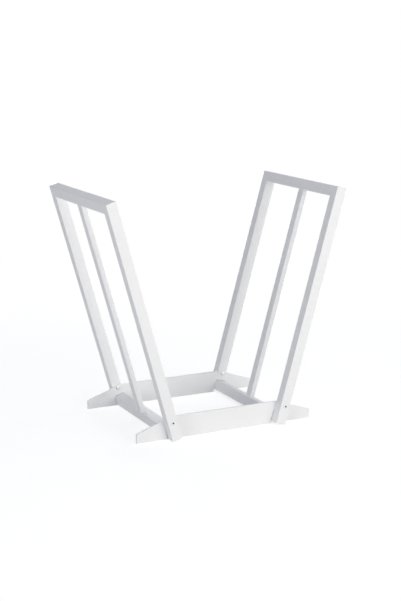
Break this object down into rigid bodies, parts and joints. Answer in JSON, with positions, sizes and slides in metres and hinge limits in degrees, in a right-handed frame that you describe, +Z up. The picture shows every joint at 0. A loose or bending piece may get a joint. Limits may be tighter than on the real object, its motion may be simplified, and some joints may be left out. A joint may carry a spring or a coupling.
{
  "type": "log holder",
  "caption": "Free-standing log holder: outward-leaning square-tube side frames, each with a slim middle bar, notched into and bolted to tapered base plates that carry the logs.",
  "frame": {"origin": "on the floor, under the middle of the holder", "axes": "+Z up; +X across the holder, from the left side frame to the right one; -Y towards the front"},
  "size_m": [0.7298, 0.4308, 0.6754],
  "materials": {
    "frame_paint": "matt white powder coat",
    "plate_paint": "matt white powder coat",
    "bolt_steel": "white coated flat head",
    "zinc_steel": "bright zinc"
  },
  "bodies": {
    "root": {"left_front_upright": "frame_paint", "left_rear_upright": "frame_paint", "left_top_rail": "frame_paint", "left_bottom_rail": "frame_paint", "left_middle_bar": "frame_paint", "right_front_upright": "frame_paint", "right_rear_upright": "frame_paint", "right_top_rail": "frame_paint", "right_bottom_rail": "frame_paint", "right_middle_bar": "frame_paint", "front_base_plate": "plate_paint", "front_left_bolt": "bolt_steel", "front_left_washer": "zinc_steel", "front_left_nut": "zinc_steel", "front_right_bolt": "bolt_steel", "front_right_washer": "zinc_steel", "front_right_nut": "zinc_steel", "rear_base_plate": "plate_paint", "rear_left_bolt": "bolt_steel", "rear_left_washer": "zinc_steel", "rear_left_nut": "zinc_steel", "rear_right_bolt": "bolt_steel", "rear_right_washer": "zinc_steel", "rear_right_nut": "zinc_steel"}
  },
  "joints": []
}
